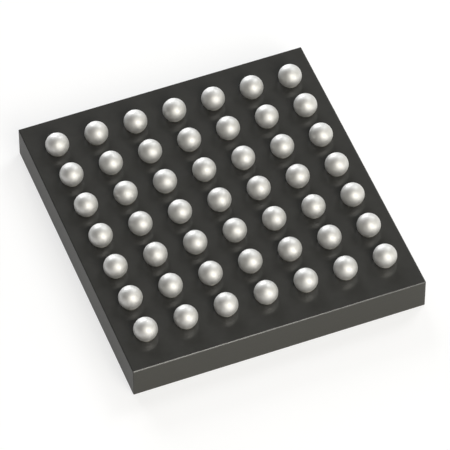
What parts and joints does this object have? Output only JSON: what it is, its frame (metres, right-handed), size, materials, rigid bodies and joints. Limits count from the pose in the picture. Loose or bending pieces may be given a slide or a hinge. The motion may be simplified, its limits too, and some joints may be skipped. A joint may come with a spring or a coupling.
{
  "type": "ball grid array chip",
  "caption": "Wafer-level ball grid array chip: a thin rectangular slab of silicon, coated on its back, with a square grid of solder balls on its active face.",
  "frame": {"origin": "centre of the flat back face, on which the chip rests with its balls up", "axes": "+Z from the back towards the balls; +Y along the longer side, towards row a; +X along the shorter side, towards column 1"},
  "size_m": [0.003, 0.0032, 0.0005],
  "materials": {
    "back_coat": "matt black laminated film",
    "silicon": "sawn silicon, dark grey with a low sheen",
    "bond_pads": "sputtered aluminium",
    "base_polymer": "clear amber polyimide",
    "copper": "electroplated copper",
    "cover_polymer": "dark cured polymer with a low gloss",
    "ball_pads": "plated nickel and copper, wetted by solder",
    "solder": "satin reflowed solder"
  },
  "bodies": {
    "root": {"back_coat": "back_coat", "silicon_die": "silicon", "bond_pads": "bond_pads", "base_polymer": "base_polymer", "copper_traces": "copper", "cover_polymer": "cover_polymer", "ball_pads": "ball_pads", "ball_a1": "solder", "ball_a2": "solder", "ball_a3": "solder", "ball_a4": "solder", "ball_a5": "solder", "ball_a6": "solder", "ball_a7": "solder", "ball_b1": "solder", "ball_b2": "solder", "ball_b3": "solder", "ball_b4": "solder", "ball_b5": "solder", "ball_b6": "solder", "ball_b7": "solder", "ball_c1": "solder", "ball_c2": "solder", "ball_c3": "solder", "ball_c4": "solder", "ball_c5": "solder", "ball_c6": "solder", "ball_c7": "solder", "ball_d1": "solder", "ball_d2": "solder", "ball_d3": "solder", "ball_d4": "solder", "ball_d5": "solder", "ball_d6": "solder", "ball_d7": "solder", "ball_e1": "solder", "ball_e2": "solder", "ball_e3": "solder", "ball_e4": "solder", "ball_e5": "solder", "ball_e6": "solder", "ball_e7": "solder", "ball_f1": "solder", "ball_f2": "solder", "ball_f3": "solder", "ball_f4": "solder", "ball_f5": "solder", "ball_f6": "solder", "ball_f7": "solder", "ball_g1": "solder", "ball_g2": "solder", "ball_g3": "solder", "ball_g4": "solder", "ball_g5": "solder", "ball_g6": "solder", "ball_g7": "solder"}
  },
  "joints": []
}
